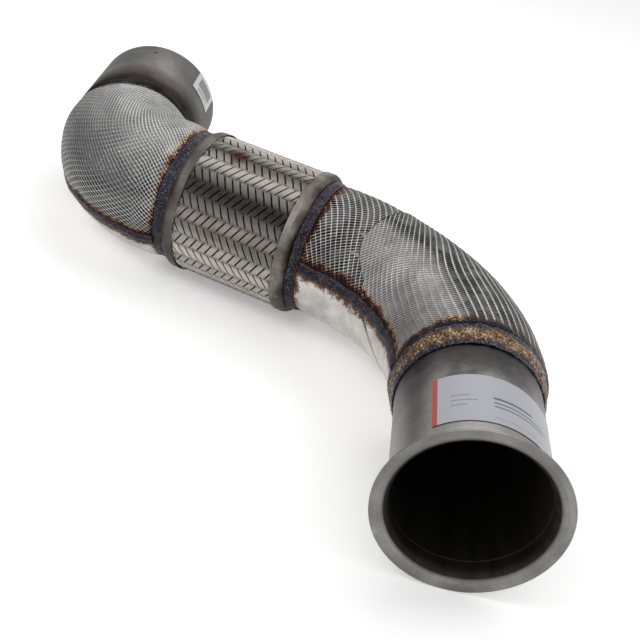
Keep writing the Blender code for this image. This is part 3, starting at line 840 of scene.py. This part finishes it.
def lap_fold(places, angles):
    """Step of the overlapping foil on the front bend, and the painted shadow along it."""
    past = places - lap_line(angles)
    before = np.exp(np.clip(past, -0.04, 0) / 0.010) * (past < 0)
    after = np.exp(-np.clip(past, 0, 0.04) / 0.008) * (past >= 0)
    return LAP_STEP * (before - 0.6 * after), np.exp(-(past / 0.0011) ** 2)


def crease_fold(places, angles):
    """Sharp buckle in the lower shell on the inside of the front bend, and the painted shade along it."""
    gap = to_line(places, angles - 2 * pi, CREASE_FROM, CREASE_TO, FRONT_JACKET_R)
    return -CREASE_DEPTH * np.exp(-(gap / 0.0020) ** 2), np.exp(-(gap / 0.0026) ** 2)


def lumps(places, angles, radii):
    """Uneven height of a rolled weld: ripples across it and knobs."""
    points = unbent_points(places, angles, radii)
    return LUMP_HEIGHT * cloud(points, FINE_LUMP_SIZE, 4) + LUMP_HEIGHT * cloud(points, COARSE_LUMP_SIZE, 5)


def seam(name, form, middle, finish, node):
    """Weld strip along a jacket, crowned and lumpy, with thinned edges."""
    (first, last), body, _ = form
    places = np.arange(first + SEAM_END_GAP, last - SEAM_END_GAP, SEAM_STEP)
    base = eased_radius(places, form)
    half = SEAM_HALF_WIDTH / body
    across = np.linspace(-1, 1, 15)
    angles = middle + across[None, :] * half * 1.08
    crown = SEAM_EDGE_HEIGHT + SEAM_CROWN * np.sqrt(np.clip(1 - across ** 2, 0, 1))[None, :]
    marks = places[::6]
    wander = SEAM_WANDER * np.interp(places, marks, cloud(np.stack([marks] * 3, axis=1), 0.02, 6))
    angles = angles + (wander / body)[:, None]
    outer = base[:, None] + crown
    outer = outer + lumps(places[:, None], angles, outer) * (crown > 0.0004)
    inner = np.broadcast_to(base[:, None] - 0.0004, outer.shape)
    upper, unbent_upper = wrapped(places[:, None], angles, outer)
    lower, unbent_lower = wrapped(places[:, None], angles, inner)
    loops = np.concatenate([upper, lower[:, ::-1]], axis=1)
    unbent = np.concatenate([unbent_upper, unbent_lower[:, ::-1]], axis=1)
    rows, columns = loops.shape[:2]
    faces = grid_faces(rows, columns, False, True)
    width = len(across)
    ends = np.arange(width - 1)
    start = np.stack([ends, 2 * width - 1 - ends, 2 * width - 2 - ends, ends + 1], axis=-1)
    faces = np.concatenate([faces, start, start[:, ::-1] + (rows - 1) * columns])
    edge = (1 - np.abs(across)) * SEAM_HALF_WIDTH
    heat = np.broadcast_to(np.concatenate([edge, edge[::-1]])[None, :], (rows, columns))
    new_piece(name, loops, faces, unbent, {"from_weld": heat}, finish, [node])


def band(end, first, width, start_r, end_r, slot, finish, ribs=0.0, swell=0.0006):
    """End band of a jacket: crushed and welded foil, with small pleats across it."""
    steps = max(6, int(round(width / BAND_STEP)))
    share = np.linspace(0, 1, steps + 1)
    outer = start_r + (end_r - start_r) * share + swell * np.sin(pi * share)
    path = np.stack([first + width * share, outer], axis=1)
    section = np.concatenate([path, path[::-1] - (0, BAND_WALL)])

    def shape(places, angles, radii):
        middle = np.sin(pi * np.clip((places - first) / width, 0, 1))
        uneven = cloud(unbent_points(places * 0, angles, radii), 0.03, 7)
        return lumps(places, angles, radii) + ribs * np.sin(PLEATS * angles + 5 * uneven) * middle

    def heat(places, angles, radii):
        return np.minimum(places - first, first + width - places)

    fields = {"from_weld": heat}
    ring_piece(f"band_{end}", section, BAND_SIDES, finish, f"jacket_ring_{end}", fields, shape)


# Braid


def braid_painted_light(angles):
    """Painted light of the wires round the braid: painted dark bands along it, and painted bright gleams."""
    tone = np.full_like(angles, BRAID_TONE)
    for sign, streaks in ((-1, BRAID_PAINTED_SHADE_BANDS), (1, BRAID_PAINTED_GLEAMS)):
        for middle, width, amount in streaks:
            away = (np.degrees(angles) - middle + 180) % 360 - 180
            tone = tone + sign * amount * BRAID_TONE * np.exp(-((away / width) ** 2))
    return tone


def strand_layer(name, way, finish):
    """All strands that run one way round the flex: flat ribbons of wires, over two and under two."""
    row = FLEX_LENGTH / CROSSINGS_ALONG
    column = pi / STRANDS_EACH_WAY
    extra = BRAID_TUCK / row
    steps = np.arange(-extra, CROSSINGS_ALONG + extra, 1 / 3)
    places = FLEX_START + steps * row
    lean = np.array([column * BRAID_MID_R, row])
    lean = lean / np.linalg.norm(lean)
    across = np.linspace(-1, 1, 2 * WIRES + 1)
    lobes = WIRE_RELIEF * np.where(np.arange(2 * WIRES + 1) % 2, 1.0, -1.0)
    profile = np.concatenate([across, [1.0, -1.0]])
    height = np.concatenate([STRAND_HALF_THICKNESS + lobes, [-STRAND_HALF_THICKNESS] * 2])
    height[[0, 2 * WIRES]] = 0.0
    sideways = profile * STRAND_WIDTH / 2
    wires = np.concatenate([lobes, [0, 0]])[None, :] / WIRE_RELIEF
    everything = []
    for strand in range(STRANDS_EACH_WAY):
        middle = BAND_CENTRE - column / 2 + 2 * column * strand + way * column * steps
        angles = middle[:, None] - way * sideways[None, :] * lean[1] / BRAID_MID_R
        s = places[:, None] + sideways[None, :] * lean[0]
        wave = -way * np.cos(2 * pi * (angles - BAND_CENTRE) / (4 * column))
        swing = np.clip(1.5 * wave, -1, 1)
        fade = np.clip(np.minimum(s - FLEX_START, FLEX_END - s) / BRAID_END_FADE + 0.4, 0.1, 1)
        radii = BRAID_MID_R + BRAID_SWING * swing * fade + height[None, :]
        bent, unbent = wrapped(np.round(s, 5), angles, radii)
        # How high the strand rides, which sets the painted shade where it dips under
        crest = np.clip(0.5 + 0.5 * swing + wires * 0.28, 0, 1)
        everything.append((bent, unbent, crest, braid_painted_light(angles)))
    faces = grid_faces(len(steps), len(profile), False, True)
    if way < 0:
        faces = faces[:, ::-1]
    count = len(steps) * len(profile)
    points, unbent, crests, painted_levels = (np.array(part) for part in zip(*everything))
    all_faces = np.concatenate([faces + i * count for i in range(STRANDS_EACH_WAY)])
    fields = {"relief": crests, "tone": painted_levels}
    new_piece(name, points, all_faces, unbent, fields, finish, ["flex_braid"])


# Pieces


def stub_and_bend(finish):
    """Flared mouth, stub and first bend, one piece of tube."""
    centre = (PIPE_WALL + FLARE_FILLET, PIPE_R + FLARE_FILLET)
    flare = [(PIPE_WALL, FLARE_R)] + arc(centre, FLARE_FILLET, pi, 1.5 * pi, 12)
    run = [(s, PIPE_R) for s in np.arange(STUB_LENGTH - 0.15, FLEX_START - 0.006, 0.006)]
    section = sheet(flare + run, PIPE_WALL)
    half = len(section) // 2

    def bore(places, angles, radii):
        inner = np.arange(len(section))[:, None] >= half
        return inner * np.clip((places - BORE_SHADE_FROM) / BORE_SHADE_FADE, 0, 1)

    def heat(places, angles, radii):
        return np.abs(places - STUB_BARE)

    fields = {"bore": bore, "from_weld": heat}
    ring_piece("tube_front", section, TUBE_SIDES, finish, "front_pipe", fields)


def collar(finish):
    """Slip collar at the far end, with its drawn-in shoulder."""
    bend = COLLAR_SHOULDER - COLLAR_WALL / 2
    centre = (COLLAR_START + bend, COLLAR_R - bend)
    shoulder = arc(centre, bend, pi, pi / 2, 10)
    run = [(COLLAR_START + x, COLLAR_R) for x in np.arange(0.012, COLLAR_LENGTH, 0.01)]
    path = [(COLLAR_START, PIPE_R + SEAT)] + shoulder + run + [(COLLAR_START + COLLAR_LENGTH, COLLAR_R)]
    section = sheet(path, COLLAR_WALL)
    half = len(section) // 2

    def bore(places, angles, radii):
        return (np.arange(len(section))[:, None] >= half) * COLLAR_BORE_SHADE

    def heat(places, angles, radii):
        return places - COLLAR_START

    fields = {"bore": bore, "from_weld": heat}
    ring_piece("slip_collar", section, TUBE_SIDES, finish, "outlet_collar", fields)


def cap(name, edge, way, finish, node):
    """Pressed cap that holds the braid: a rolled lip, a rounded shoulder and a neck on the tube."""
    shoulder = [
        (edge + way * (CAP_LIP + CAP_SHOULDER * sin(t)), CAP_R - CAP_DROP * (1 - cos(t)))
        for t in np.linspace(0, pi / 2, 12)
    ]
    rolled = [(edge, CAP_R - 0.0003), (edge + way * 0.0006, CAP_R), (edge + way * 0.0014, CAP_R)]
    groove = [(edge + way * 0.002, CAP_R - 0.00025)]
    path = rolled + groove + shoulder + [(edge + way * CAP_LENGTH, CAP_NECK_R)]
    section = sheet(path, way * CAP_WALL)
    if way < 0:
        section = section[::-1]

    def heat(places, angles, radii):
        return np.abs(edge + way * (CAP_LENGTH + 0.001) - places)

    ring_piece(name, section, TUBE_SIDES, finish, node, {"from_weld": heat})


def wrapped_sticker(name, first, length, start, sweep, radius, finish, node):
    """Thin sheet laid round part of a tube, with its own coordinates from 0 to 1 both ways."""
    inner_r = radius + SEAT
    outer_r = inner_r + STICKER_THICKNESS
    steps = first + length * np.linspace(0, 1, STICKER_STEPS)
    section = [(s, outer_r) for s in steps] + [(s, inner_r) for s in steps[::-1]]

    def across(places, angles, radii):
        return (angles - start) / sweep

    def along(places, angles, radii):
        return (places - first) / length

    fields = {"across": across, "along": along}
    ring_piece(name, section, STICKER_SIDES, finish, node, fields, span=(start, sweep))


def weld_bead(end, corner, way, finish):
    """Rippled fillet weld between a tube and the edge of what sits on it."""
    turns = np.linspace(0, pi / 2, 5)
    base = PIPE_R + SEAT
    path = [(corner - way * (SEAT + BEAD_LEG * cos(t)), base + BEAD_LEG * sin(t)) for t in turns]
    foot = corner - way * SEAT
    path += [(foot, base + 0.6 * BEAD_LEG), (foot, base + 0.2 * BEAD_LEG)]
    path += [(foot - way * 0.2 * BEAD_LEG, base), (foot - way * 0.5 * BEAD_LEG, base)]
    section = path if way > 0 else path[::-1]

    def shape(places, angles, radii):
        return BEAD_RIPPLE_HEIGHT * np.sin(BEAD_RIPPLES * angles) * (radii > base + 0.0002)

    def heat(places, angles, radii):
        return np.full_like(places, 0.003)

    fields = {"from_weld": heat}
    ring_piece(f"bead_{end}", section, BEAD_SIDES, finish, f"weld_{end}", fields, shape)


def light(name, place, target, size, power):
    lamp = bpy.data.lights.new(name, "AREA")
    lamp.shape = "RECTANGLE"
    lamp.size, lamp.size_y = size
    lamp.energy = power
    obj = bpy.data.objects.new(name, lamp)
    obj.location = place
    obj.rotation_euler = (Vector(target) - Vector(place)).to_track_quat("-Z", "Y").to_euler()
    bpy.context.scene.collection.objects.link(obj)


def seen_share(tree):
    """1 for rays that come from the camera or off a shiny or clear surface."""
    path = add_node(tree, "LightPath")
    seen = plus(tree, path.outputs["Is Camera Ray"], path.outputs["Is Glossy Ray"])
    clamped = {"operation": "ADD", "use_clamp": True}
    return add_node(tree, "Math", clamped, i0=seen, i1=path.outputs["Is Transmission Ray"]).outputs[0]


def studio():
    """White surroundings, a pale floor and three soft lights."""
    world = bpy.data.worlds.new("studio")
    bpy.context.scene.world = world
    world.use_nodes = True
    tree = world.node_tree
    background = tree.nodes["Background"]
    background.inputs["Color"].default_value = (1, 1, 1, 1)
    strength = graded(tree, seen_share(tree), 0, 1, 0.66, 1.0)
    tree.links.new(strength, background.inputs["Strength"])

    bpy.ops.mesh.primitive_plane_add(size=8)
    floor = bpy.context.active_object
    floor.name = "floor"
    made = bpy.data.materials.new("pale_floor")
    made.use_nodes = True
    tree = made.node_tree
    shader = tree.nodes["Principled BSDF"]
    shader.inputs["Base Color"].default_value = (0.93, 0.93, 0.93, 1)
    shader.inputs["Roughness"].default_value = 0.9
    shader.inputs["Specular IOR Level"].default_value = 0.0
    shader.inputs["Emission Color"].default_value = (1, 1, 1, 1)
    tree.links.new(graded(tree, seen_share(tree), 0, 1, 0, 0.28), shader.inputs["Emission Strength"])
    floor.data.materials.append(made)

    light("key_left", (-1.3, -0.6, 1.5), (0, 0, 0.05), (0.9, 0.9), 9)
    light("strip_right", (1.4, 0.2, 1.1), (0.05, 0, 0.05), (0.5, 1.6), 7)
    light("top_back", (0.0, 1.3, 1.6), (0, 0, 0.05), (1.4, 0.5), 6)


def camera():
    lens = bpy.data.cameras.new("camera")
    lens.lens = CAMERA_LENS
    lens.sensor_width = 36
    obj = bpy.data.objects.new("camera", lens)
    look = Vector(CAMERA_LOOK).to_track_quat("-Z", "Y").to_matrix().to_4x4()
    obj.matrix_world = Matrix.Translation(CAMERA_PLACE) @ look @ Matrix.Rotation(CAMERA_ROLL, 4, "Z")
    bpy.context.scene.collection.objects.link(obj)
    bpy.context.scene.camera = obj


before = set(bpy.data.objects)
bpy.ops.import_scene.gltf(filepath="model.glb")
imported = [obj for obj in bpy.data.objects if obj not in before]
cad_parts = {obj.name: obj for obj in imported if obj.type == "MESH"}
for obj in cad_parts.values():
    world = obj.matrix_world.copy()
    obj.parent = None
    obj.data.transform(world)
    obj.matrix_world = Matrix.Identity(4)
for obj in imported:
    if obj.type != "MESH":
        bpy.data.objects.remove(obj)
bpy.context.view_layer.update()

camera()
studio()

tube_tint = ((0.015, 0.013, 0.012), (0.028, 0.026, 0.024), (0.062, 0.059, 0.055))
collar_tint = ((0.007, 0.004, 0.003), (0.016, 0.010, 0.007), (0.060, 0.046, 0.038))
cap_tint = ((0.024, 0.017, 0.013), (0.050, 0.042, 0.034), (0.090, 0.080, 0.070))
tube_finish = brushed_steel(
    "brushed_tube", (0.175, 0.167, 0.158), (0.275, 0.264, 0.252), tube_tint, 60, TUBE_MARKS
)
collar_finish = brushed_steel(
    "brushed_collar", (0.172, 0.163, 0.154), (0.240, 0.229, 0.218), collar_tint, 54, COLLAR_MARKS, rim=0.45
)
cap_front_finish = brushed_steel(
    "brushed_cap_front", (0.085, 0.077, 0.068), (0.310, 0.290, 0.265), cap_tint, 14, rough=0.42
)
cap_rear_finish = brushed_steel(
    "brushed_cap_rear", (0.062, 0.055, 0.048), (0.180, 0.166, 0.148), cap_tint, 16, rough=0.42
)
front_foil = foil("foil_front", (0.24, 0.236, 0.23), (0.47, 0.465, 0.455), (0.010, 0.0095, 0.009))
rear_foil = foil(
    "foil_rear", (0.37, 0.37, 0.368), (0.47, 0.47, 0.465), (0.011, 0.011, 0.0105), reach=0.0115
)
# The lower shells are painted lighter than the upper ones: a painted reflection of the floor
lower_foil = foil(
    "foil_lower", (0.80, 0.77, 0.73), (0.84, 0.81, 0.77), (0.08, 0.07, 0.06), sheen=0.34, start=0.16
)
seam_finish = weld_strip("weld_strip")
band_finish = scorched_band("scorched_band")
braid_finish = braid_wire("braid_wire")
label_finish = sticker("sticker_main", (0.36, 0.37, 0.40), LABEL_BARS, LABEL_EDGE)
tag_finish = sticker("sticker_tag", (0.52, 0.53, 0.54), TAG_BARS, 0)

stub_and_bend(tube_finish)
collar(collar_finish)
cap("cap_front", FLEX_START, -1, cap_front_finish, "flex_cap_front")
cap("cap_rear", FLEX_END, 1, cap_rear_finish, "flex_cap_rear")
strand_layer("braid_right_hand", 1, braid_finish)
strand_layer("braid_left_hand", -1, braid_finish)

jackets = (
    ("front", FRONT_FORM, FRONT_SEAM_ANGLE, front_pattern, front_foil, (END_WELD, 0), lap_fold, crease_fold),
    ("rear", REAR_FORM, REAR_SEAM_ANGLE, rear_pattern, rear_foil, (REAR_FLEX_WELD, END_WELD), None, None),
)
for end, form, start, pattern, finish, welds, lap, crease in jackets:
    upper, lower = f"jacket_{end}_upper", f"jacket_{end}_lower"
    jacket(f"foil_{end}_upper", form, start, pattern, finish, upper, welds, lap)
    jacket(f"foil_{end}_lower", form, start + pi, plain_pattern, lower_foil, lower, welds, crease)
    for side, middle in (("left", start), ("right", start + pi)):
        seam(f"seam_{end}_{side}", form, middle, seam_finish, f"jacket_{end}_seam_{side}")

stub_band = (STUB_BARE, RING_STUB_WIDTH, FRONT_END_R - RING_STUB_DROP, FRONT_END_R)
flex_front_band = (FRONT_BEND_END + SEAT, FRONT_NECK - CAP_LENGTH - 2 * SEAT, FRONT_END_R, CAP_END_R)
flex_rear_band = (FLEX_END + CAP_LENGTH + SEAT, RING_FLEX_REAR_WIDTH, CAP_END_R, REAR_END_R)
outlet_band = (OUTLET_BEND_END, RING_OUTLET_WIDTH, REAR_END_R, REAR_END_R - OUTLET_BAND_DROP)
band("stub", *stub_band, "gold_band", band_finish, ribs=PLEAT_HEIGHT)
band("flex_front", *flex_front_band, "blue_band", seam_finish)
band("flex_rear", *flex_rear_band, "blue_band", seam_finish)
band("outlet", *outlet_band, "gold_band", band_finish, swell=0.0003)
weld_bead("flex_front", FLEX_START - CAP_LENGTH, 1, seam_finish)
weld_bead("flex_rear", FLEX_END + CAP_LENGTH, -1, seam_finish)
weld_bead("outlet", COLLAR_START, 1, seam_finish)
wrapped_sticker(
    "sticker_stub", LABEL_START, LABEL_LENGTH, LABEL_FROM, LABEL_SWEEP, PIPE_R, label_finish, "label_main"
)
tag_start = COLLAR_START + COLLAR_LENGTH - TAG_END_MARGIN - TAG_LENGTH
wrapped_sticker(
    "sticker_collar", tag_start, TAG_LENGTH, TAG_FROM, TAG_SWEEP, COLLAR_R, tag_finish, "label_collar"
)

# Hidden insides and the bellows under the braid are painted near black as shade
inner_shade = shaded_steel("inner_shade", (0.03, 0.028, 0.026))
under_braid_shade = shaded_steel("under_braid", (0.012, 0.011, 0.010))
mat = fibre_mat("fibre_mat")
kept = {
    "rear_pipe": inner_shade,
    "flex_liner": inner_shade,
    "flex_bellows": under_braid_shade,
    "insulation_front": mat,
    "insulation_rear": mat,
}
for node, finish in kept.items():
    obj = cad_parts[node]
    obj.data.materials.clear()
    obj.data.materials.append(finish)

bpy.context.scene.view_settings.view_transform = "Standard"
